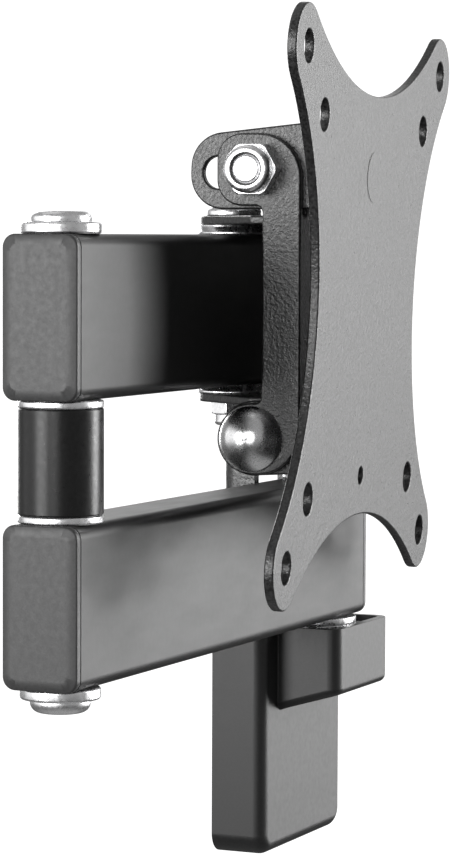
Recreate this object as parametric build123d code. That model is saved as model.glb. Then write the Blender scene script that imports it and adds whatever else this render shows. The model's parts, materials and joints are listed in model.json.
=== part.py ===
"""Full motion wall mount for a small flat screen.

Frame: millimetres, +Z up.  The origin is on the wall, at the centre of the
back face of the wall plate, level with the middle of the lower arm.  The wall
is the plane y = 0 and the screen side is -Y.  The arms are folded one above
the other along -X, and the head is panned and tipped forward a little.  The
screen plate sits turned by a fraction of a degree on its bracket.
"""
import math
import os

from build123d import *

# ---- wall plate: a stamped channel with two ears bent out of its window ----
PLATE_WIDTH = 36.5
PLATE_HALF_HEIGHT = 64.6
PLATE_DEPTH = 8.2
PLATE_GAUGE = 2.3
PLATE_BEND = 3.4
WINDOW_WIDTH = 26.4
EAR_WIDTH = 22.8
EAR_REACH = 24.6
EAR_CORNER = 4.0
EAR_BEND = 1.0
WALL_HOLE_SPACING = 100.0
WALL_HOLE = 7.0

# ---- plastic covers over the plate's two ends ----
COVER_WIDTH = 45.0
COVER_DEPTH = 12.5
COVER_WALL = 2.0
COVER_EDGE = 2.8
COVER_FOOT = 4.5
COVER_END = PLATE_HALF_HEIGHT + COVER_WALL
LOWER_COVER_RIM = -16.6
UPPER_COVER_RIM = 34.9
POCKET_WIDTH = 30.2
POCKET_FRONT = -27.0
POCKET_FRONT_FLOOR = -31.0
POCKET_BACK_FLOOR = -35.2
POCKET_WALL = 1.8
POCKET_EDGE = 3.0
POCKET_SOLE = 1.8
CLIP_RIB = 2.0
LOWER_RIBS = (-56.0, -40.0)
UPPER_RIBS = (40.0, 54.0)

# ---- arms: rectangular tube with sleeves at the pivots and plugged ends ----
PIVOT_Y = -16.0
ELBOW_X = -126.4
PAN_X = -47.7
ARM_THICK = 15.6
ARM_TALL = 30.9
ARM_WALL = 1.8
ARM_CORNER = 2.5
END_REACH = 9.25
WALL_END_REACH = 9.4
SLEEVE_OD = 10.0
RUNNING_FIT = 0.1
LOWER_ARM_Z = 0.0
UPPER_ARM_Z = 53.9
CAP_RIM = 1.6
CAP_BEVEL = 0.7
CAP_BEVEL_WIDTH = 2.1
CAP_PLUG = 4.4
CAP_PLUG_WALL = 0.8
CAP_PLUG_GAP = 0.1

# ---- pivot hardware ----
PIN = 8.0
WALL_WASHER = 16.5
WALL_WASHER_THICK = 1.6
WALL_WASHER_THIN = 0.7
WALL_BOLT_HEAD = 5.3
WALL_BOLT_TAIL = 8.2
WALL_NUT = 6.9
M8_FLATS = 13.0
ELBOW_SPACER = 16.2
ELBOW_SHIM = 1.5
ELBOW_WASHER = 15.3
ELBOW_WASHER_THICK = 2.2
RIVET_HEAD = 11.6
RIVET_HEAD_TALL = 2.0
RIVET_TAIL = 11.5
RIVET_TAIL_TALL = 2.6

# ---- head: swivel bracket, in a frame centred on the plate's bolt pattern ----
HEAD_Z = 54.7
PAN_REST = 6.0
TILT_REST = 2.15
FACE_OFFSET = 29.3
GAUGE = 2.0
SWIVEL_HALF_WIDTH = 22.0
SWIVEL_FRONT = 8.1
FLANGE_GAP = 2.0
FLANGE_GAUGE = 1.85
FLANGE_HALF_WIDTH = 17.5
FLANGE_END = 7.0
FLANGE_SHOULDER = 20.0
STRIP_BACK = 16.1
LOBE_TOP = 35.0
LOBE_FOOT = -34.3
LOBE_UPPER = 7.3
LOBE_UPPER_BACK = 7.9
LOBE_UPPER_CORNER = 5.2
WEB_LIP = 2.0
LOBE_LOWER = 7.2
LOBE_FRONT_CORNER = 9.0
LOBE_INNER_CORNER = 3.0
PAN_WASHER = 15.0
PAN_THREAD = 5.0
PAN_NUT = 5.0
M5_FLATS = 8.0

# ---- tilt hardware and the bracket behind the screen plate ----
TILT_Y = 18.3
TILT_Z = -26.5
LOCK_Y = 17.8
LOCK_Z = 27.7
M6 = 6.0
M6_FLATS = 10.0
M6_NUT = 6.0
M6_HEAD = 4.0
DOME_HEAD = 13.5
DOME_TALL = 4.3
BRACKET_HALF_WIDTH = 19.9
SLOT_WIDTH = 6.5
SLOT_FORWARD = 8.7
SLOT_BACKWARD = 5.5
UPPER_EAR_BACK = 33.0
UPPER_EAR_HIGH = 33.4
UPPER_EAR_LOW = 18.4
UPPER_EAR_ROOT = 19.8
UPPER_EAR_CORNER = 7.0
LOWER_EAR = 7.6
LOWER_EAR_TOP = -22.6
BRACKET_TOP = 37.8
BRACKET_FOOT = -33.3

# ---- screen plate ----
SCREEN_GAUGE = 2.0
SQUARE_100 = 100.0
SQUARE_75 = 75.0
SCREEN_HOLE = 6.4
LOBE_RADIUS = 8.3
WAIST_HALF_WIDTH = 36.1
WAIST_HALF_HEIGHT = 43.0
WELD_DISC = 10.4
WELD_DISC_Z = 26.5
WELD_DISC_PROUD = 0.08
DRAIN_HOLE = 3.6
DRAIN_HOLE_Z = -35.0
PLATE_TURN = 0.65

# ---- placements worked out from the dimensions above ----
ARM_HALF = ARM_TALL / 2
WALL_STACK = WALL_WASHER_THICK + WALL_WASHER_THIN
EAR_INNER = ARM_HALF + WALL_STACK
EAR_OUTER = EAR_INNER + PLATE_GAUGE
UPPER_ARM_FOOT = UPPER_ARM_Z - ARM_HALF
UPPER_ARM_TOP = UPPER_ARM_Z + ARM_HALF
ARM_LEFT = ELBOW_X - END_REACH
CAP_TOTAL = CAP_RIM + CAP_BEVEL
HEAD = Pos(PAN_X, PIVOT_Y, HEAD_Z) * Rot(0, 0, PAN_REST) * Pos(0, -FACE_OFFSET, 0)
TILTED = HEAD * Rot(TILT_REST, 0, 0)
FLANGE_TOP_INNER = UPPER_ARM_TOP + FLANGE_GAP - HEAD_Z
FLANGE_FOOT_INNER = UPPER_ARM_FOOT - FLANGE_GAP - HEAD_Z
FLANGE_TOP = FLANGE_TOP_INNER + FLANGE_GAUGE
FLANGE_FOOT = FLANGE_FOOT_INNER - FLANGE_GAUGE
UPRIGHT = (Align.CENTER, Align.CENTER, Align.MIN)


def block(x0, x1, y0, y1, z0, z1):
    """Box between two corners."""
    box = Box(x1 - x0, y1 - y0, z1 - z0)
    return Pos((x0 + x1) / 2, (y0 + y1) / 2, (z0 + z1) / 2) * box


def post(diameter, bottom, top):
    """Upright cylinder about the Z axis between two heights."""
    return Pos(0, 0, bottom) * Cylinder(diameter / 2, top - bottom, align=UPRIGHT)


def ring(outside, inside, bottom, top):
    """Flat ring about the Z axis between two heights."""
    return post(outside, bottom, top) - post(inside, bottom, top)


def side_plate(outline, x0, x1):
    """Plate cut to an outline given in (y, z), standing between two X values."""
    return Pos(x0, 0, 0) * extrude(Plane.YZ * outline, amount=x1 - x0)


def hex_prism(across_flats, bottom, top):
    """Hexagon bar with its corners turned down at both ends."""
    hexagon = RegularPolygon(across_flats / 2, 6, major_radius=False)
    bar = Pos(0, 0, bottom) * extrude(hexagon, amount=top - bottom)
    corner = across_flats / math.sqrt(3)
    turned = Pos(0, 0, bottom) * Cylinder(corner, top - bottom, align=UPRIGHT)
    turned = chamfer(turned.edges().filter_by(GeomType.CIRCLE), (corner - across_flats / 2) * 0.6)
    return bar & turned


def lock_nut(across_flats, thread, height):
    """Lock nut seated on z = 0: a hexagon with a rolled collar round the nylon ring."""
    hex_tall, corner = 0.52 * height, across_flats / math.sqrt(3)
    bite = corner - across_flats / 2
    hexagon = extrude(RegularPolygon(across_flats / 2, 6, major_radius=False), amount=hex_tall)
    turned = Cylinder(corner, hex_tall + bite, align=UPRIGHT)
    turned = chamfer(turned.edges().sort_by(Axis.Z)[-1], 1.5 * bite)
    collar = Cylinder(0.48 * across_flats, height, align=UPRIGHT)
    collar = fillet(collar.edges().sort_by(Axis.Z)[-1], 0.11 * across_flats)
    nut = (hexagon & turned) + collar
    nut -= post(thread, -1, height + 1)
    return nut - post(1.12 * thread, 0.8 * height, height + 1)


def save(name, *solids):
    """Write one node, as a single solid or as a group of separate ones."""
    shape = solids[0] if len(solids) == 1 else Compound(children=list(solids))
    export_step(shape, f"parts/{name}.step")


# ---- wall side -------------------------------------------------------------
def ear_profile():
    """Ear and the short upright it is bent from, in (y, z), for the lower ear."""
    root = -EAR_OUTER - 2 * EAR_BEND
    outline = Polyline(
        (0, root), (0, -EAR_INNER), (-EAR_REACH, -EAR_INNER), (-EAR_REACH, -EAR_OUTER),
        (-PLATE_GAUGE, -EAR_OUTER), (-PLATE_GAUGE, root), close=True)
    face = make_face(outline)
    heel = face.vertices().sort_by_distance((0, -EAR_INNER))[0]
    face = fillet(heel, PLATE_GAUGE + EAR_BEND)
    crook = face.vertices().sort_by_distance((-PLATE_GAUGE, -EAR_OUTER))[0]
    return fillet(crook, EAR_BEND)


def lower_ear():
    half = EAR_WIDTH / 2
    ear = side_plate(ear_profile(), -half, half)
    tips = ear.edges().filter_by(Axis.Z).group_by(Axis.Y)[0]
    ear = fillet(tips, EAR_CORNER)
    return ear - Pos(0, PIVOT_Y, 0) * post(PIN + RUNNING_FIT, -EAR_OUTER - 1, -EAR_INNER + 1)


def wall_plate():
    half = PLATE_WIDTH / 2
    plate = block(-half, half, -PLATE_DEPTH, 0, -PLATE_HALF_HEIGHT, PLATE_HALF_HEIGHT)
    heels = plate.edges().filter_by(Axis.Z).group_by(Axis.Y)[-1]
    plate = fillet(heels, PLATE_BEND)
    inner = half - PLATE_GAUGE
    plate -= block(-inner, inner, -PLATE_DEPTH - 1, -PLATE_GAUGE, -100, 100)
    window = WINDOW_WIDTH / 2
    reach = EAR_OUTER + EAR_BEND
    plate -= block(-window, window, -PLATE_GAUGE - 1, 1, -reach, reach)
    plate += lower_ear()
    plate += mirror(lower_ear(), about=Plane.XY)
    for z in (-WALL_HOLE_SPACING / 2, WALL_HOLE_SPACING / 2):
        plate -= Pos(0, 0, z) * Rot(90, 0, 0) * Cylinder(WALL_HOLE / 2, 4 * PLATE_GAUGE)
    return plate


def cover_shell(rim, end):
    """Five-sided cap for one end of the plate, open at its rim and towards the wall."""
    half = COVER_WIDTH / 2
    low, high = min(rim, end), max(rim, end)
    shell = block(-half, half, -COVER_DEPTH, 0, low, high)
    feet = shell.edges().filter_by(Axis.Y).sort_by(Axis.Z)
    feet = feet[:2] if end < rim else feet[-2:]
    shell = fillet(feet, COVER_FOOT)
    front = shell.faces().filter_by(Axis.Y).sort_by(Axis.Y)[0]
    rim_edge = front.edges().filter_by(Axis.X).sort_by(Axis.Z)[-1 if end < rim else 0]
    soft = [edge for edge in front.edges() if edge.center() != rim_edge.center()]
    return fillet(soft, COVER_EDGE)


def clip_ribs(heights):
    """Small ribs inside a cover that grip the plate's flanges."""
    near, far = PLATE_WIDTH / 2, COVER_WIDTH / 2 - COVER_WALL
    ribs = []
    for z in heights:
        ribs.append(block(near, far, -PLATE_DEPTH, -1, z, z + CLIP_RIB))
        ribs.append(block(-far, -near, -PLATE_DEPTH, -1, z, z + CLIP_RIB))
    return ribs


def cover_hollow(rim, end):
    """Space inside a cover, run out past the rim and past the wall face."""
    half = COVER_WIDTH / 2 - COVER_WALL
    inward = 1 if end < rim else -1
    floor = end + inward * COVER_WALL
    past = rim + inward * 5
    return block(-half, half, COVER_WALL - COVER_DEPTH, 1, min(floor, past), max(floor, past))


def pocket(wall):
    """Housing round the lower ear and nut, shrunk on every side by wall."""
    front, back = POCKET_FRONT + wall, -COVER_DEPTH / 2
    slope = (POCKET_FRONT_FLOOR - POCKET_BACK_FLOOR) / (POCKET_FRONT + COVER_DEPTH)
    lift = wall
    floor_front = POCKET_FRONT_FLOOR + lift + slope * wall
    floor_back = floor_front + slope * (back - front)
    rim = LOWER_COVER_RIM + (1 if wall else 0)
    outline = make_face(Polyline(
        (back, rim), (front, rim), (front, floor_front), (back, floor_back), close=True))
    half = POCKET_WIDTH / 2 - wall
    body = side_plate(outline, -half, half)
    edge = POCKET_EDGE - wall
    corners = body.edges().filter_by(Axis.Z).group_by(Axis.Y)[0]
    body = fillet(corners, edge)
    sole = body.faces().sort_by(Axis.Z)[0]
    edges = [edge for edge in sole.edges() if edge.center().Y < back - 0.01]
    return body if wall else fillet(edges, POCKET_SOLE)


def lower_cover():
    cover = cover_shell(LOWER_COVER_RIM, -COVER_END) + pocket(0)
    cover -= cover_hollow(LOWER_COVER_RIM, -COVER_END)
    cover -= pocket(POCKET_WALL)
    for rib in clip_ribs(LOWER_RIBS):
        cover += rib
    return cover


def upper_cover():
    cover = cover_shell(UPPER_COVER_RIM, COVER_END) - cover_hollow(UPPER_COVER_RIM, COVER_END)
    for rib in clip_ribs(UPPER_RIBS):
        cover += rib
    return cover


def wall_pivot_bolt():
    bolt = hex_prism(M8_FLATS, EAR_OUTER, EAR_OUTER + WALL_BOLT_HEAD)
    bolt += post(PIN, -EAR_OUTER - WALL_BOLT_TAIL, EAR_OUTER)
    tail = bolt.edges().filter_by(GeomType.CIRCLE).sort_by(Axis.Z)[0]
    return Pos(0, PIVOT_Y, 0) * chamfer(tail, 0.8)


def wall_pivot_nut():
    nut = Rot(180, 0, 0) * lock_nut(M8_FLATS, PIN, WALL_NUT)
    return Pos(0, PIVOT_Y, -EAR_OUTER) * nut


def wall_washers(near, far):
    """Matching washers above and below the lower arm."""
    bore = PIN + RUNNING_FIT
    pair = [ring(WALL_WASHER, bore, near, far), ring(WALL_WASHER, bore, -far, -near)]
    return [Pos(0, PIVOT_Y, 0) * washer for washer in pair]


# ---- arms ------------------------------------------------------------------
def arm_tube(left, right, height, pivots):
    """Tube between its two cap faces, drilled for the sleeves at each pivot."""
    start, length = left + CAP_TOTAL, right - left - 2 * CAP_TOTAL
    outside = RectangleRounded(ARM_THICK, ARM_TALL, ARM_CORNER)
    bore_corner = ARM_CORNER - ARM_WALL
    inside = RectangleRounded(ARM_THICK - 2 * ARM_WALL, ARM_TALL - 2 * ARM_WALL, bore_corner)
    tube = extrude(Plane.YZ * (outside - inside), amount=length)
    tube = Pos(start, PIVOT_Y, height) * tube
    for x in pivots:
        tube -= Pos(x, PIVOT_Y, height) * post(SLEEVE_OD, -ARM_TALL, ARM_TALL)
    return tube


def sleeve(x, height):
    """Steel sleeve welded through the tube, which the pin turns in."""
    return Pos(x, PIVOT_Y, height) * ring(SLEEVE_OD, PIN + RUNNING_FIT, -ARM_HALF, ARM_HALF)


def end_cap():
    """Plug for the left end of a tube that starts at x = 0, about its centre line."""
    rim = extrude(Plane.YZ * RectangleRounded(ARM_THICK, ARM_TALL, ARM_CORNER), amount=-CAP_RIM)
    base = Plane((-CAP_RIM, 0, 0), x_dir=(0, 1, 0), z_dir=(-1, 0, 0))
    crown = Plane((-CAP_TOTAL, 0, 0), x_dir=(0, 1, 0), z_dir=(-1, 0, 0))
    shrink = 2 * CAP_BEVEL_WIDTH
    bevel = loft([
        base * RectangleRounded(ARM_THICK, ARM_TALL, ARM_CORNER),
        crown * RectangleRounded(ARM_THICK - shrink, ARM_TALL - shrink, ARM_CORNER / 2)])
    half_y = ARM_THICK / 2 - ARM_WALL - CAP_PLUG_GAP
    half_z = ARM_HALF - ARM_WALL - CAP_PLUG_GAP
    plug = block(0, CAP_PLUG, -half_y, half_y, -half_z, half_z)
    plug = chamfer(plug.edges().filter_by(Axis.X), CAP_PLUG_WALL)
    thin_y, thin_z = half_y - CAP_PLUG_WALL, half_z - CAP_PLUG_WALL
    plug -= block(0, CAP_PLUG + 1, -thin_y, thin_y, -thin_z, thin_z)
    to_pivot = END_REACH - CAP_TOTAL
    plug -= Pos(to_pivot, 0, 0) * post(SLEEVE_OD + 2 * CAP_PLUG_GAP, -ARM_TALL, ARM_TALL)
    return rim + bevel + plug


def arm_caps(left, right, height):
    """The same cap at both ends of an arm."""
    near = Pos(left + CAP_TOTAL, PIVOT_Y, height) * end_cap()
    far = Pos(right - CAP_TOTAL, PIVOT_Y, height) * Rot(0, 0, 180) * end_cap()
    return [near, far]


# ---- elbow -----------------------------------------------------------------
def at_elbow(shape):
    return Pos(ELBOW_X, PIVOT_Y, 0) * shape


def elbow_washers():
    """Thick washers outside the two arms."""
    bore = PIN + RUNNING_FIT
    top = ring(ELBOW_WASHER, bore, UPPER_ARM_TOP, UPPER_ARM_TOP + ELBOW_WASHER_THICK)
    foot = ring(ELBOW_WASHER, bore, -ARM_HALF - ELBOW_WASHER_THICK, -ARM_HALF)
    return [at_elbow(washer) for washer in (top, foot)]


def elbow_shims():
    """Thin washers at the two ends of the spacer."""
    bore = PIN + RUNNING_FIT
    low = ring(ELBOW_SPACER, bore, ARM_HALF, ARM_HALF + ELBOW_SHIM)
    high = ring(ELBOW_SPACER, bore, UPPER_ARM_FOOT - ELBOW_SHIM, UPPER_ARM_FOOT)
    return [at_elbow(shim) for shim in (low, high)]


def elbow_spacer():
    bore = PIN + RUNNING_FIT
    tube = ring(ELBOW_SPACER, bore, ARM_HALF + ELBOW_SHIM, UPPER_ARM_FOOT - ELBOW_SHIM)
    return at_elbow(tube)


def elbow_rivet():
    top = UPPER_ARM_TOP + ELBOW_WASHER_THICK
    foot = -ARM_HALF - ELBOW_WASHER_THICK
    head = post(RIVET_HEAD, top, top + RIVET_HEAD_TALL)
    head = fillet(head.edges().sort_by(Axis.Z)[-1], 0.65 * RIVET_HEAD_TALL)
    tail = post(RIVET_TAIL, foot - RIVET_TAIL_TALL, foot)
    tail = fillet(tail.edges().sort_by(Axis.Z)[0], RIVET_TAIL_TALL * 0.75)
    return at_elbow(head + post(PIN, foot, top) + tail)


# ---- head: parts that pan --------------------------------------------------
def on_pan_axis(shape):
    return HEAD * Pos(0, FACE_OFFSET, 0) * shape


def cheek_outline():
    """C-shaped side of the swivel bracket in (y, z): two lobes joined by a strip."""
    front = SWIVEL_FRONT
    upper_low, lower_high = LOCK_Z - LOBE_UPPER, TILT_Z + LOBE_LOWER
    strip = Pos((front + STRIP_BACK) / 2, 0) * Rectangle(STRIP_BACK - front, 2 * LOCK_Z)
    back = LOCK_Y + LOBE_UPPER_BACK
    upper = make_face(Polyline(
        (front, upper_low), (back, upper_low), (back, LOBE_TOP), (front, LOBE_TOP), close=True))
    lower = make_face(Polyline(
        (front, LOBE_FOOT), (TILT_Y, TILT_Z - LOBE_LOWER), (TILT_Y, lower_high),
        (front, lower_high), close=True))
    lower += Pos(TILT_Y, TILT_Z) * Circle(LOBE_LOWER)
    shape = strip + upper + lower
    tips = [shape.vertices().sort_by_distance((back, z))[0] for z in (upper_low, LOBE_TOP)]
    shape = fillet(tips, LOBE_UPPER_CORNER)
    crooks = [shape.vertices().sort_by_distance((STRIP_BACK, z))[0] for z in (upper_low, lower_high)]
    shape = fillet(crooks, LOBE_INNER_CORNER / 2)
    noses = [shape.vertices().sort_by_distance((front, z))[0] for z in (LOBE_TOP, LOBE_FOOT)]
    return fillet(noses, LOBE_FRONT_CORNER)


def flange_outline():
    """Tongue that reaches back over the arm, rounded about the pan axis."""
    wide = Pos(0, (SWIVEL_FRONT + FLANGE_SHOULDER) / 2) * Rectangle(
        2 * FLANGE_HALF_WIDTH, FLANGE_SHOULDER - SWIVEL_FRONT)
    tip = Pos(0, FACE_OFFSET) * Circle(FLANGE_END)
    return make_hull(wide.edges() + tip.edges())


def swivel_bracket():
    half, front = SWIVEL_HALF_WIDTH, SWIVEL_FRONT
    bracket = block(-half, half, front, front + GAUGE, FLANGE_FOOT, FLANGE_TOP)
    cheek = cheek_outline()
    bracket += side_plate(cheek, -half, GAUGE - half)
    bracket += side_plate(cheek, half - GAUGE, half)
    tongue = extrude(flange_outline(), amount=FLANGE_GAUGE)
    bracket += Pos(0, 0, FLANGE_TOP_INNER) * tongue
    bracket += Pos(0, 0, FLANGE_FOOT) * tongue
    lip = FLANGE_HALF_WIDTH
    bracket += block(-lip, lip, front, front + GAUGE, FLANGE_TOP_INNER, FLANGE_TOP + WEB_LIP)
    axis = Pos(0, FACE_OFFSET, 0)
    bracket -= axis * post(PIN + RUNNING_FIT, FLANGE_TOP_INNER - 1, FLANGE_TOP + 1)
    bracket -= axis * post(PAN_THREAD + RUNNING_FIT, FLANGE_FOOT - 1, FLANGE_FOOT_INNER + 1)
    for y, z in ((LOCK_Y, LOCK_Z), (TILT_Y, TILT_Z)):
        bracket -= Pos(0, y, z) * Rot(0, 90, 0) * Cylinder((M6 + RUNNING_FIT) / 2, 3 * half)
    return HEAD * bracket


def pan_bolt():
    """Flat-headed shoulder bolt: the shoulder turns in the arm, the thread takes the nut."""
    head = post(RIVET_HEAD, FLANGE_TOP, FLANGE_TOP + RIVET_HEAD_TALL)
    head = fillet(head.edges().sort_by(Axis.Z)[-1], 0.65 * RIVET_HEAD_TALL)
    tail = FLANGE_FOOT - PAN_NUT - 0.4
    thread = post(PAN_THREAD, tail, FLANGE_FOOT_INNER)
    thread = chamfer(thread.edges().sort_by(Axis.Z)[0], 0.6)
    return on_pan_axis(head + post(PIN, FLANGE_FOOT_INNER, FLANGE_TOP) + thread)


def pan_nut():
    nut = Rot(180, 0, 0) * lock_nut(M5_FLATS, PAN_THREAD, PAN_NUT)
    return on_pan_axis(Pos(0, 0, FLANGE_FOOT) * nut)


def pan_washers():
    """Two thin washers between the arm and each tongue."""
    thin, bore = FLANGE_GAP / 2, PIN + RUNNING_FIT
    starts = (FLANGE_TOP_INNER - 2 * thin, FLANGE_TOP_INNER - thin,
              FLANGE_FOOT_INNER, FLANGE_FOOT_INNER + thin)
    return [on_pan_axis(ring(PAN_WASHER, bore, z, z + thin)) for z in starts]


def across_head(shape, y, z):
    """Turn an upright shape to lie along the head's X axis through (y, z)."""
    return HEAD * Pos(0, y, z) * Rot(0, 90, 0) * shape


def tilt_pivot_bolt():
    """Domed bolt through both cheeks, its head on the -X side."""
    half = SWIVEL_HALF_WIDTH
    radius = (DOME_HEAD ** 2 / 4 + DOME_TALL ** 2) / (2 * DOME_TALL)
    dome = Pos(0, 0, radius - DOME_TALL - half) * Sphere(radius)
    dome &= Pos(0, 0, -half - DOME_TALL) * Cylinder(DOME_HEAD, DOME_TALL, align=UPRIGHT)
    return across_head(dome + post(M6, -half, half + M6_NUT + 0.5), TILT_Y, TILT_Z)


def tilt_lock_bolt():
    """Hexagon bolt through both cheeks and the slot, its head on the +X side."""
    half = SWIVEL_HALF_WIDTH
    shank = post(M6, -half - M6_NUT + 0.3, half)
    shank = chamfer(shank.edges().sort_by(Axis.Z)[0], 0.45)
    return across_head(shank + hex_prism(M6_FLATS, half, half + M6_HEAD), LOCK_Y, LOCK_Z)


def tilt_nut(side, y, z):
    """M6 lock nut on one cheek; side is -1 or +1 along the head's X axis."""
    nut = Pos(0, 0, SWIVEL_HALF_WIDTH) * lock_nut(M6_FLATS, M6, M6_NUT)
    turned = nut if side > 0 else Rot(180, 0, 0) * nut
    return across_head(Rot(0, 0, 30) * turned, y, z)


# ---- head: parts that tilt -------------------------------------------------
def in_tilted_frame(y, z):
    """A point of the head frame, in the frame tipped forward by the rest tilt."""
    c, s = math.cos(math.radians(TILT_REST)), math.sin(math.radians(TILT_REST))
    return y * c + z * s, z * c - y * s


def slot_outline():
    """Curved slot about the tilt pivot, open either side of the lock bolt."""
    py, pz = in_tilted_frame(TILT_Y, TILT_Z)
    ly, lz = in_tilted_frame(LOCK_Y, LOCK_Z)
    reach = math.hypot(ly - py, lz - pz)
    rest = math.degrees(math.atan2(lz - pz, ly - py))
    centre = CenterArc((py, pz), reach, rest - SLOT_FORWARD, SLOT_FORWARD + SLOT_BACKWARD)
    return SlotArc(centre, SLOT_WIDTH)


def upper_ear_outline():
    back, web = UPPER_EAR_BACK, SCREEN_GAUGE
    tips = ((back, UPPER_EAR_HIGH), (back, UPPER_EAR_LOW))
    shape = make_face(Polyline((web, BRACKET_TOP), *tips, (web, UPPER_EAR_ROOT), close=True))
    corners = [shape.vertices().sort_by_distance(tip)[0] for tip in tips]
    return fillet(corners, UPPER_EAR_CORNER) - slot_outline()


def lower_ear_outline():
    py, pz = in_tilted_frame(TILT_Y, TILT_Z)
    web, foot = SCREEN_GAUGE, BRACKET_FOOT
    heel = pz - LOWER_EAR
    strip = make_face(Polyline(
        (web, LOWER_EAR_TOP), (web, foot), (py, heel), (py, LOWER_EAR_TOP), close=True))
    eye = Pos(py, pz) * Circle(LOWER_EAR)
    return strip + eye - Pos(py, pz) * Circle((M6 + RUNNING_FIT) / 2)


def vesa_bracket():
    """U-shaped bracket welded to the back of the screen plate, with four ears."""
    half, web = BRACKET_HALF_WIDTH, SCREEN_GAUGE
    bracket = block(-half, half, web, web + GAUGE, BRACKET_FOOT, BRACKET_TOP)
    for outline in (upper_ear_outline(), lower_ear_outline()):
        bracket += side_plate(outline, -half, GAUGE - half)
        bracket += side_plate(outline, half - GAUGE, half)
    return TILTED * bracket


def concave_arc(waist):
    """Centre distance and radius of the arc that meets two corner lobes smoothly."""
    corner = SQUARE_100 / 2
    reach = waist - LOBE_RADIUS
    centre = (2 * corner ** 2 - reach ** 2) / (2 * (corner - reach))
    return centre, centre - waist


def screen_outline():
    """X-shaped plate in (x, z): four lobes joined by concave arcs."""
    corner = SQUARE_100 / 2
    side_c, side_r = concave_arc(WAIST_HALF_WIDTH)
    top_c, top_r = concave_arc(WAIST_HALF_HEIGHT)
    blend = LOBE_RADIUS / (LOBE_RADIUS + side_r)
    knee_x = corner + (side_c - corner) * blend
    knee_z = corner * (1 - blend)
    blend = LOBE_RADIUS / (LOBE_RADIUS + top_r)
    brow_x = corner * (1 - blend)
    brow_z = corner + (top_c - corner) * blend
    tip = corner + LOBE_RADIUS / math.sqrt(2)
    arcs = []
    for sx, sz in ((1, 1), (1, -1), (-1, -1), (-1, 1)):
        arcs.append(ThreePointArc((sx * knee_x, sz * knee_z), (sx * tip, sz * tip),
                                  (sx * brow_x, sz * brow_z)))
    for s in (1, -1):
        arcs.append(ThreePointArc((s * knee_x, knee_z), (s * WAIST_HALF_WIDTH, 0),
                                  (s * knee_x, -knee_z)))
        arcs.append(ThreePointArc((brow_x, s * brow_z), (0, s * WAIST_HALF_HEIGHT),
                                  (-brow_x, s * brow_z)))
    return make_face(arcs)


def vesa_plate():
    face = Plane.XZ * screen_outline()
    plate = extrude(face, amount=-SCREEN_GAUGE)
    disc = Rot(90, 0, 0) * Cylinder(WELD_DISC / 2, 2 * WELD_DISC_PROUD)
    plate += Pos(0, 0, WELD_DISC_Z) * disc
    drills = [(DRAIN_HOLE, 0, DRAIN_HOLE_Z)]
    for square in (SQUARE_100, SQUARE_75):
        for sx in (-1, 1):
            for sz in (-1, 1):
                drills.append((SCREEN_HOLE, sx * square / 2, sz * square / 2))
    for diameter, x, z in drills:
        plate -= Pos(x, 0, z) * Rot(90, 0, 0) * Cylinder(diameter / 2, 4 * SCREEN_GAUGE)
    return TILTED * Rot(0, PLATE_TURN, 0) * plate


def main():
    os.makedirs("parts", exist_ok=True)
    save("wall_plate", wall_plate())
    save("lower_cover", lower_cover())
    save("upper_cover", upper_cover())
    save("wall_pivot_bolt", wall_pivot_bolt())
    save("wall_pivot_nut", wall_pivot_nut())
    save("wall_pivot_thick_washers", *wall_washers(ARM_HALF, ARM_HALF + WALL_WASHER_THICK))
    save("wall_pivot_thin_washers", *wall_washers(EAR_INNER - WALL_WASHER_THIN, EAR_INNER))

    lower_right = WALL_END_REACH
    save("lower_arm_tube", arm_tube(ARM_LEFT, lower_right, LOWER_ARM_Z, (ELBOW_X, 0)))
    save("lower_arm_end_caps", *arm_caps(ARM_LEFT, lower_right, LOWER_ARM_Z))
    save("lower_arm_sleeves", sleeve(ELBOW_X, LOWER_ARM_Z), sleeve(0, LOWER_ARM_Z))
    save("elbow_outer_washers", *elbow_washers())
    save("elbow_shims", *elbow_shims())
    save("elbow_spacer", elbow_spacer())
    save("elbow_rivet", elbow_rivet())

    upper_right = PAN_X + END_REACH
    save("upper_arm_tube", arm_tube(ARM_LEFT, upper_right, UPPER_ARM_Z, (ELBOW_X, PAN_X)))
    save("upper_arm_end_caps", *arm_caps(ARM_LEFT, upper_right, UPPER_ARM_Z))
    save("upper_arm_sleeves", sleeve(ELBOW_X, UPPER_ARM_Z), sleeve(PAN_X, UPPER_ARM_Z))

    save("swivel_bracket", swivel_bracket())
    save("pan_bolt", pan_bolt())
    save("pan_nut", pan_nut())
    save("pan_washers", *pan_washers())
    save("tilt_pivot_bolt", tilt_pivot_bolt())
    save("tilt_pivot_nut", tilt_nut(1, TILT_Y, TILT_Z))
    save("tilt_lock_bolt", tilt_lock_bolt())
    save("tilt_lock_nut", tilt_nut(-1, LOCK_Y, LOCK_Z))

    save("vesa_bracket", vesa_bracket())
    save("vesa_plate", vesa_plate())


main()
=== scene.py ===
"""Looks of the folding wall mount: finishes, rounded edges, nut inserts, light and camera.

Lengths are in metres, except where a name ends in _MM or _mm or a docstring says millimetres.
"""
import json
import math

import bmesh
import bpy
from mathutils import Matrix, Vector

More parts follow.
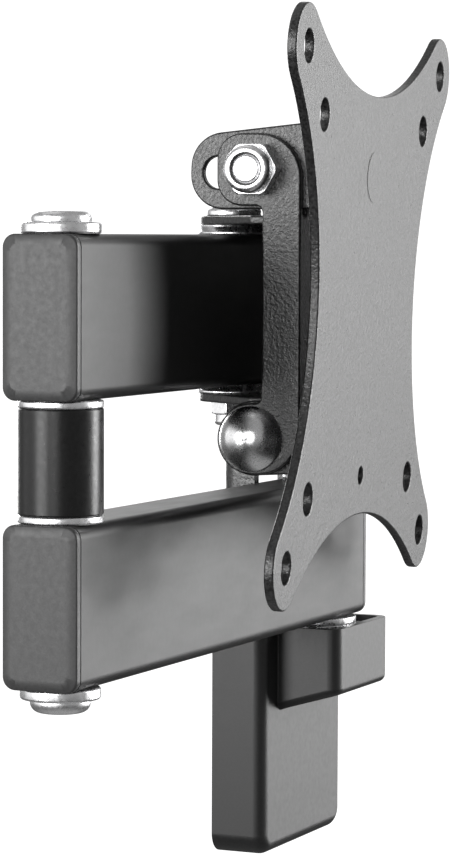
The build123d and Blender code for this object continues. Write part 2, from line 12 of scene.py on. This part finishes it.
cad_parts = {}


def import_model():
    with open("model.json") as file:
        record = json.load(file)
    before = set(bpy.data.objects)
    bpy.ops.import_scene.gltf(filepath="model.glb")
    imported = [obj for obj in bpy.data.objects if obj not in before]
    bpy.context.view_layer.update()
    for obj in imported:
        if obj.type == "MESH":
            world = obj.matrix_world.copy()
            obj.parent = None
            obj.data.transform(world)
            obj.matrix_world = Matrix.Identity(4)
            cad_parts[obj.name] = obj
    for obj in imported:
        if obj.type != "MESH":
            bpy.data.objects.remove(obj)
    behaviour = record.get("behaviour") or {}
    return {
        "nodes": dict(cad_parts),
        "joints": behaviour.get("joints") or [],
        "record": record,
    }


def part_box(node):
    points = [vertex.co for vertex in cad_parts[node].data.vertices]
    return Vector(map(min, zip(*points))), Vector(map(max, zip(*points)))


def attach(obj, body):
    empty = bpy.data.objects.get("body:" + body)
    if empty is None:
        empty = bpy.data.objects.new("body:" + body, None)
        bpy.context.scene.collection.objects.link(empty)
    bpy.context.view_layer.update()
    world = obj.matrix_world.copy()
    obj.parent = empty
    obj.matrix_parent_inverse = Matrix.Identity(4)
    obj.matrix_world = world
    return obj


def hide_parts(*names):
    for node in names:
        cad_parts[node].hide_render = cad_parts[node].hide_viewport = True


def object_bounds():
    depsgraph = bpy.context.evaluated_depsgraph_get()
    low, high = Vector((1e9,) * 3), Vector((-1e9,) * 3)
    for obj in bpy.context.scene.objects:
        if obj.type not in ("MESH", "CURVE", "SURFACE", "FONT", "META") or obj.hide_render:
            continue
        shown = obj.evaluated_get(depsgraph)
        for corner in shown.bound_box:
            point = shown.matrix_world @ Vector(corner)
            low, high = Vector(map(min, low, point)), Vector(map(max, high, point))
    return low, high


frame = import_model()
cad_low, cad_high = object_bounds()
MM = 0.001
CENTRE = (cad_low + cad_high) / 2
record = frame["record"]
body_of = {}
for body_name, members in record["behaviour"]["bodies"].items():
    for member in members:
        body_of[member] = body_name
slot_of = {part["node"]: part["material_slot"] for part in record["subparts"]}
joint_of = {joint["name"]: joint for joint in frame["joints"]}


# ---- materials ---------------------------------------------------------------
COOL_TINT = 1.01
NOISE_LOW = 0.3
NOISE_HIGH = 0.7


def grey(level):
    """A grey with a trace of blue."""
    return (level, level, level * COOL_TINT, 1)


class Shader:
    """Small helper around one node material with a Principled shader."""

    def __init__(self, name, base, roughness, metallic=0.0):
        self.material = bpy.data.materials.new(name)
        self.material.use_nodes = True
        self.tree = self.material.node_tree
        self.shader = self.tree.nodes["Principled BSDF"]
        self.shader.inputs["Base Color"].default_value = grey(base)
        self.shader.inputs["Roughness"].default_value = roughness
        self.shader.inputs["Metallic"].default_value = metallic
        self.coordinates = self.tree.nodes.new("ShaderNodeTexCoord").outputs["Object"]

    def link(self, source, target):
        """Join an output socket to an input socket."""
        self.tree.links.new(source, target)

    def noise(self, size_mm, detail=2.0, rough=0.5, stretch=(1, 1, 1)):
        """Noise with features of about that size; stretch draws it out along an axis."""
        mapping = self.tree.nodes.new("ShaderNodeMapping")
        mapping.inputs["Scale"].default_value = [1 / s for s in stretch]
        self.link(self.coordinates, mapping.inputs["Vector"])
        texture = self.tree.nodes.new("ShaderNodeTexNoise")
        texture.inputs["Scale"].default_value = 1 / (size_mm * MM)
        texture.inputs["Detail"].default_value = detail
        texture.inputs["Roughness"].default_value = rough
        self.link(mapping.outputs["Vector"], texture.inputs["Vector"])
        return texture.outputs["Fac"]

    def roughen(self, value, low, high):
        """Drive the roughness between two values, so the gloss varies over the surface."""
        node = self.tree.nodes.new("ShaderNodeMapRange")
        node.inputs["From Min"].default_value = NOISE_LOW
        node.inputs["From Max"].default_value = NOISE_HIGH
        node.inputs["To Min"].default_value = low
        node.inputs["To Max"].default_value = high
        self.link(value, node.inputs["Value"])
        self.link(node.outputs["Result"], self.shader.inputs["Roughness"])

    def tone(self, value, dark, light, start=NOISE_LOW, end=NOISE_HIGH):
        """Drive the base colour between two greys."""
        ramp = self.tree.nodes.new("ShaderNodeValToRGB")
        ramp.color_ramp.elements[0].position = start
        ramp.color_ramp.elements[0].color = grey(dark)
        ramp.color_ramp.elements[1].position = end
        ramp.color_ramp.elements[1].color = grey(light)
        self.link(value, ramp.inputs["Fac"])
        self.link(ramp.outputs["Color"], self.shader.inputs["Base Color"])

    def bump(self, value, depth_mm):
        """Add a bump on top of any bump already there."""
        node = self.tree.nodes.new("ShaderNodeBump")
        node.inputs["Strength"].default_value = 1.0
        node.inputs["Distance"].default_value = depth_mm * MM
        self.link(value, node.inputs["Height"])
        normal = self.shader.inputs["Normal"]
        if normal.is_linked:
            self.link(normal.links[0].from_socket, node.inputs["Normal"])
        self.link(node.outputs["Normal"], normal)


def powder_coat():
    """Black powder coat of the sheet parts: glossy skin with a fine, bumpy grain."""
    paint = Shader("powder_coat", base=0.012, roughness=0.34)
    paint.shader.inputs["IOR"].default_value = 1.6
    speckle = paint.noise(size_mm=0.6, detail=2.0, rough=0.6)
    paint.tone(speckle, dark=0.002, light=0.024, start=0.4, end=0.6)
    paint.roughen(paint.noise(size_mm=0.8, detail=3.0), low=0.27, high=0.4)
    paint.bump(paint.noise(size_mm=0.7, detail=2.0, rough=0.6), depth_mm=0.12)
    paint.bump(paint.noise(size_mm=0.4, detail=2.0), depth_mm=0.05)
    return paint.material


def satin_paint():
    """Smoother black paint of the arm tubes, its gloss drawn out a little along them."""
    paint = Shader("satin_paint", base=0.008, roughness=0.44)
    paint.tone(paint.noise(size_mm=1.4, detail=3.0), dark=0.006, light=0.011)
    paint.roughen(paint.noise(size_mm=4.0, detail=3.0, stretch=(3, 1, 1)), low=0.41, high=0.47)
    paint.bump(paint.noise(size_mm=2.0, detail=1.0), depth_mm=0.004)
    paint.bump(paint.noise(size_mm=0.35, detail=2.0), depth_mm=0.005)
    return paint.material


def cap_plastic():
    """Moulded plastic of the arms' end caps and the nuts' inserts, the palest of the blacks."""
    plastic = Shader("cap_plastic", base=0.03, roughness=0.5)
    plastic.tone(plastic.noise(size_mm=0.5, detail=4.0), dark=0.026, light=0.038)
    plastic.roughen(plastic.noise(size_mm=1.2), low=0.42, high=0.5)
    plastic.bump(plastic.noise(size_mm=0.3, detail=3.0), depth_mm=0.01)
    return plastic.material


def cover_plastic():
    """Smoother moulded plastic of the wall plate's covers."""
    plastic = Shader("cover_plastic", base=0.01, roughness=0.3)
    plastic.tone(plastic.noise(size_mm=0.5, detail=4.0), dark=0.006, light=0.011)
    plastic.roughen(plastic.noise(size_mm=1.0), low=0.37, high=0.43)
    plastic.bump(plastic.noise(size_mm=0.3, detail=3.0), depth_mm=0.006)
    return plastic.material


def spacer_plastic():
    """Satin black of the long elbow spacer, with a weak reflection."""
    plastic = Shader("spacer_plastic", base=0.006, roughness=0.3)
    plastic.shader.inputs["Specular IOR Level"].default_value = 0.35
    plastic.tone(plastic.noise(size_mm=0.8, detail=3.0), dark=0.004, light=0.008)
    plastic.roughen(plastic.noise(size_mm=0.9), low=0.27, high=0.35)
    plastic.bump(plastic.noise(size_mm=0.5, detail=3.0), depth_mm=0.006)
    return plastic.material


def zinc_steel():
    """Bright zinc plate of the bolts, nuts, washers, sleeves and rivet, slightly uneven."""
    steel = Shader("zinc_steel", base=0.9, roughness=0.3, metallic=1.0)
    steel.tone(steel.noise(size_mm=1.1, detail=4.0), dark=0.78, light=0.92)
    steel.roughen(steel.noise(size_mm=0.7, detail=3.0), low=0.22, high=0.38)
    steel.bump(steel.noise(size_mm=0.6, detail=3.0), depth_mm=0.01)
    return steel.material


def polished_steel():
    """Turned steel of the domed bolt: fine rings stretch highlights out along the radius."""
    steel = Shader("polished_steel", base=0.8, roughness=0.25, metallic=1.0)
    steel.tone(steel.noise(size_mm=2.5, detail=4.0), dark=0.72, light=0.9)
    steel.roughen(steel.noise(size_mm=0.5, detail=3.0), low=0.2, high=0.32)
    steel.shader.inputs["Anisotropic"].default_value = 0.8
    around = steel.tree.nodes.new("ShaderNodeTangent")
    around.direction_type = "RADIAL"
    around.axis = "Z"
    steel.link(around.outputs["Tangent"], steel.shader.inputs["Tangent"])
    return steel.material


MATERIALS = {
    "powder_coat": powder_coat(),
    "satin_paint": satin_paint(),
    "cap_plastic": cap_plastic(),
    "cover_plastic": cover_plastic(),
    "spacer_plastic": spacer_plastic(),
    "zinc_steel": zinc_steel(),
    "polished_steel": polished_steel(),
}


def dress(piece, slot):
    """Give a piece the material of one of the record's slots."""
    piece.data.materials.clear()
    piece.data.materials.append(MATERIALS[slot])


# ---- rounded edges -----------------------------------------------------------
JOIN_MM = 0.002
FLAT_DEGREES = 0.4
SHARP_DEGREES = 32
BEVEL_SEGMENTS = 3
CLAMPED = ("wall_plate", "lower_cover", "upper_cover")


def clean_copy(node):
    """The node's mesh with shared corners joined and flat faces made whole."""
    mesh = frame["nodes"][node].data.copy()
    custom = mesh.attributes.get("custom_normal")
    if custom:
        mesh.attributes.remove(custom)
    soup = bmesh.new()
    soup.from_mesh(mesh)
    bmesh.ops.remove_doubles(soup, verts=soup.verts, dist=JOIN_MM * MM)
    bmesh.ops.dissolve_limit(
        soup, angle_limit=math.radians(FLAT_DEGREES), verts=soup.verts, edges=soup.edges)
    soup.to_mesh(mesh)
    soup.free()
    return mesh


def mark_edges(mesh, spared):
    """Give every sharp edge a bevel weight of 1, apart from those that are spared."""
    soup = bmesh.new()
    soup.from_mesh(mesh)
    weight = soup.edges.layers.float.new("bevel_weight_edge")
    for edge in soup.edges:
        sharp = edge.is_manifold and edge.calc_face_angle() > math.radians(SHARP_DEGREES)
        middle = (edge.verts[0].co + edge.verts[1].co) / 2
        edge[weight] = 1.0 if sharp and not (spared and spared(middle)) else 0.0
    soup.to_mesh(mesh)
    soup.free()


def round_edges(piece, radius_mm, clamped):
    """Bevel the marked edges of a piece and keep the result as its mesh."""
    bevel = piece.modifiers.new("edges", "BEVEL")
    bevel.width = radius_mm * MM
    bevel.segments = BEVEL_SEGMENTS
    bevel.limit_method = "WEIGHT"
    bevel.use_clamp_overlap = clamped
    bevel.miter_outer = "MITER_ARC"
    weigh = piece.modifiers.new("normals", "WEIGHTED_NORMAL")
    weigh.keep_sharp = True
    piece.data.shade_smooth()
    depsgraph = bpy.context.evaluated_depsgraph_get()
    final = bpy.data.meshes.new_from_object(piece.evaluated_get(depsgraph))
    piece.modifiers.clear()
    piece.data = final
    final.name = piece.name


def refined(node, radius_mm, local=None, spared=None):
    """A copy of a node with its sharp edges rounded, which stands in for it.

    A local frame gives the copy its own axes, for a finish that runs round an axis.
    """
    mesh = clean_copy(node)
    mark_edges(mesh, spared)
    piece = bpy.data.objects.new(node + "_body", mesh)
    if local:
        piece.data.transform(local.inverted())
        piece.matrix_world = local
    bpy.context.scene.collection.objects.link(piece)
    round_edges(piece, radius_mm, node in CLAMPED)
    dress(piece, slot_of[node])
    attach(piece, body_of[node])
    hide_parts(node)


EDGE_MM = {
    "vesa_plate": 0.4,
    "vesa_bracket": 0.45,
    "swivel_bracket": 0.45,
    "wall_plate": 0.3,
    "upper_arm_tube": 0.2,
    "lower_arm_tube": 0.2,
    "upper_arm_end_caps": 0.3,
    "lower_arm_end_caps": 0.3,
    "lower_cover": 0.3,
    "upper_cover": 0.3,
    "elbow_spacer": 0.4,
    "elbow_rivet": 0.15,
    "elbow_outer_washers": 0.5,
    "elbow_shims": 0.4,
    "pan_washers": 0.2,
    "pan_bolt": 0.25,
    "pan_nut": 0.2,
    "wall_pivot_bolt": 0.25,
    "wall_pivot_nut": 0.2,
    "wall_pivot_thick_washers": 0.25,
    "wall_pivot_thin_washers": 0.15,
    "tilt_lock_bolt": 0.25,
    "tilt_pivot_bolt": 0.25,
    "tilt_lock_nut": 0.08,
    "tilt_pivot_nut": 0.08,
}


def axis_frame(node, axis):
    """Frame at the middle of a node with Z along the axis."""
    low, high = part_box(node)
    turn = Vector(axis).to_track_quat("Z", "Y")
    return Matrix.Translation((low + high) / 2) @ turn.to_matrix().to_4x4()


HEAD_X = Vector(joint_of["tilt"]["axis"])
TURNED = ("tilt_pivot_bolt", "tilt_lock_bolt", "tilt_lock_nut", "tilt_pivot_nut")
SCREEN_LOW, SCREEN_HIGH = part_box("vesa_plate")
SCREEN_CENTRE = (SCREEN_LOW + SCREEN_HIGH) / 2
WELD_MARK_UP_MM = 26.5
WELD_MARK_REACH_MM = 7.5


def weld_mark(point):
    """True near the thin round weld mark on the screen plate, too thin to be rounded."""
    offset = (point - SCREEN_CENTRE) / MM
    beside = abs(offset.x) < WELD_MARK_REACH_MM
    return beside and abs(offset.z - WELD_MARK_UP_MM) < WELD_MARK_REACH_MM


for node, cad in frame["nodes"].items():
    if node in EDGE_MM:
        local = axis_frame(node, HEAD_X) if node in TURNED else None
        spared = weld_mark if node == "vesa_plate" else None
        refined(node, EDGE_MM[node], local=local, spared=spared)
    else:
        dress(cad, slot_of[node])


# ---- inserts of the lock nuts ------------------------------------------------
RING_STEPS = 64
RING_SIDES = 12
# The collar is a share of the nut's height, the ring's middle a share of the thread's radius,
# its half thickness a share of the thread, and its rise a share of that half thickness.
COLLAR_SHARE = 0.2
RING_REACH = 1.06
RING_FAT = 0.06
RING_RISE = 0.5


def turned_mesh(name, profile):
    """Mesh of a closed (radius, height) profile in millimetres, turned round the Z axis."""
    soup = bmesh.new()
    rings = []
    for step in range(RING_STEPS):
        angle = 2 * math.pi * step / RING_STEPS
        ring = []
        for radius, height in profile:
            spot = (radius * math.cos(angle), radius * math.sin(angle), height)
            ring.append(soup.verts.new(Vector(spot) * MM))
        rings.append(ring)
    for step in range(RING_STEPS):
        near = rings[step]
        far = rings[(step + 1) % RING_STEPS]
        for i in range(len(profile)):
            j = (i + 1) % len(profile)
            soup.faces.new((near[i], far[i], far[j], near[j]))
    bmesh.ops.recalc_face_normals(soup, faces=soup.faces)
    mesh = bpy.data.meshes.new(name)
    soup.to_mesh(mesh)
    soup.free()
    mesh.shade_smooth()
    return mesh


def nut_insert(node, axis, thread_mm, height_mm):
    """Soft ring in the collar of a lock nut; the axis points out of the nut."""
    seat_mm = height_mm / 2 - COLLAR_SHARE * height_mm
    reach_mm = RING_REACH * thread_mm / 2
    fat_mm = RING_FAT * thread_mm
    profile = []
    for side in range(RING_SIDES):
        turn = 2 * math.pi * side / RING_SIDES
        radius = reach_mm + fat_mm * math.cos(turn)
        height = seat_mm + RING_RISE * fat_mm + fat_mm * math.sin(turn)
        profile.append((radius, height))
    name = node + "_insert"
    piece = bpy.data.objects.new(name, turned_mesh(name, profile))
    piece.matrix_world = axis_frame(node, axis)
    bpy.context.scene.collection.objects.link(piece)
    dress(piece, "cap_plastic")
    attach(piece, body_of[node])


DOWN = (0, 0, -1)
nut_insert("tilt_lock_nut", -HEAD_X, thread_mm=6.0, height_mm=6.0)
nut_insert("tilt_pivot_nut", HEAD_X, thread_mm=6.0, height_mm=6.0)
nut_insert("pan_nut", DOWN, thread_mm=5.0, height_mm=5.0)
nut_insert("wall_pivot_nut", DOWN, thread_mm=8.0, height_mm=6.9)


# ---- stage, light and camera -------------------------------------------------
def seen_by_camera(tree, other, seen):
    """Mix two shaders: one for the camera, the other for light that bounces."""
    path = tree.nodes.new("ShaderNodeLightPath")
    mix = tree.nodes.new("ShaderNodeMixShader")
    tree.links.new(path.outputs["Is Camera Ray"], mix.inputs["Fac"])
    tree.links.new(other, mix.inputs[1])
    tree.links.new(seen, mix.inputs[2])
    return mix.outputs["Shader"]


FLOOR_SIZE = 12
FLOOR_DROP = 1.4
FLOOR_GREY = 0.3
FLOOR_ROUGHNESS = 0.9
WHITE_GLOW = 1.2
SKY_FILL = 0.32


def floor():
    """Pale floor well below the mount, bright for the camera and dim in what it throws back."""
    place = (CENTRE.x, CENTRE.y, CENTRE.z - FLOOR_DROP)
    bpy.ops.mesh.primitive_plane_add(size=FLOOR_SIZE, location=place)
    plane = bpy.context.object
    plane.name = "floor"
    material = bpy.data.materials.new("floor_white")
    material.use_nodes = True
    tree = material.node_tree
    shader = tree.nodes["Principled BSDF"]
    shader.inputs["Base Color"].default_value = (FLOOR_GREY, FLOOR_GREY, FLOOR_GREY, 1)
    shader.inputs["Roughness"].default_value = FLOOR_ROUGHNESS
    glow = tree.nodes.new("ShaderNodeEmission")
    glow.inputs["Strength"].default_value = WHITE_GLOW
    mixed = seen_by_camera(tree, shader.outputs["BSDF"], glow.outputs["Emission"])
    tree.links.new(mixed, tree.nodes["Material Output"].inputs["Surface"])
    plane.data.materials.append(material)


def softbox(name, azimuth, elevation, distance, width, height, radiance):
    """Area light that faces the object's centre; azimuth 0 is +X and 90 is +Y."""
    light = bpy.data.lights.new(name, "AREA")
    light.shape = "RECTANGLE"
    light.size = width
    light.size_y = height
    light.energy = radiance * math.pi * width * height
    lamp = bpy.data.objects.new(name, light)
    around = math.radians(azimuth)
    rise = math.radians(elevation)
    level = math.cos(rise)
    away = Vector((math.cos(around) * level, math.sin(around) * level, math.sin(rise)))
    lamp.location = CENTRE + away * distance
    lamp.rotation_euler = away.to_track_quat("Z", "Y").to_euler()
    lamp.visible_camera = False
    bpy.context.scene.collection.objects.link(lamp)


def world(fill, backdrop):
    """Dim even fill on the object, and a white backdrop for the camera."""
    scene_world = bpy.data.worlds.new("studio")
    bpy.context.scene.world = scene_world
    scene_world.use_nodes = True
    tree = scene_world.node_tree
    tree.nodes.clear()
    skies = []
    for strength in (fill, backdrop):
        sky = tree.nodes.new("ShaderNodeBackground")
        sky.inputs["Color"].default_value = (1, 1, 1, 1)
        sky.inputs["Strength"].default_value = strength
        skies.append(sky.outputs["Background"])
    output = tree.nodes.new("ShaderNodeOutputWorld")
    tree.links.new(seen_by_camera(tree, *skies), output.inputs["Surface"])


EYE_MM = (-657.5, -288.5, 69.2)
NEAREST = 0.05
LENS_MM = 134.83
SENSOR_MM = 36
TURN_DEGREES = -65.784
DIP_DEGREES = 3.432
LEVEL_DEGREES = 90
ROLL_DEGREES = 0.228


def camera():
    """Long lens from the left and a little in front, looking slightly down at the mount."""
    lens = bpy.data.cameras.new("camera")
    lens.sensor_fit = "VERTICAL"
    lens.sensor_height = SENSOR_MM
    lens.sensor_width = SENSOR_MM
    lens.lens = LENS_MM
    lens.clip_start = NEAREST
    view = bpy.data.objects.new("camera", lens)
    view.location = Vector(EYE_MM) * MM
    turn = Matrix.Rotation(math.radians(TURN_DEGREES), 3, "Z")
    dip = Matrix.Rotation(math.radians(LEVEL_DEGREES - DIP_DEGREES), 3, "X")
    roll = Matrix.Rotation(math.radians(ROLL_DEGREES), 3, "Z")
    view.rotation_euler = (turn @ dip @ roll).to_euler()
    bpy.context.scene.collection.objects.link(view)
    bpy.context.scene.camera = view


floor()
world(SKY_FILL, WHITE_GLOW)
# name, azimuth and elevation in degrees, distance, width, height, radiance
softbox("front", 310, 8, 1.2, 0.46, 0.7, 15.5)
softbox("right", 334, 6, 1.2, 0.62, 1.1, 2.7)
softbox("left", 156, 7, 1.2, 0.6, 0.6, 9.2)
softbox("near_left", 188, 8, 1.2, 0.4, 0.5, 5.5)
softbox("broad_left", 130, 5, 1.5, 2.2, 0.9, 0.9)
softbox("back", 25, 12, 1.5, 1.4, 0.8, 1.0)
softbox("behind", 45, 12, 1.4, 0.6, 0.9, 5)
softbox("top", 100, 70, 1.2, 0.8, 0.8, 0.4)
camera()
bpy.context.scene.view_settings.view_transform = "Standard"
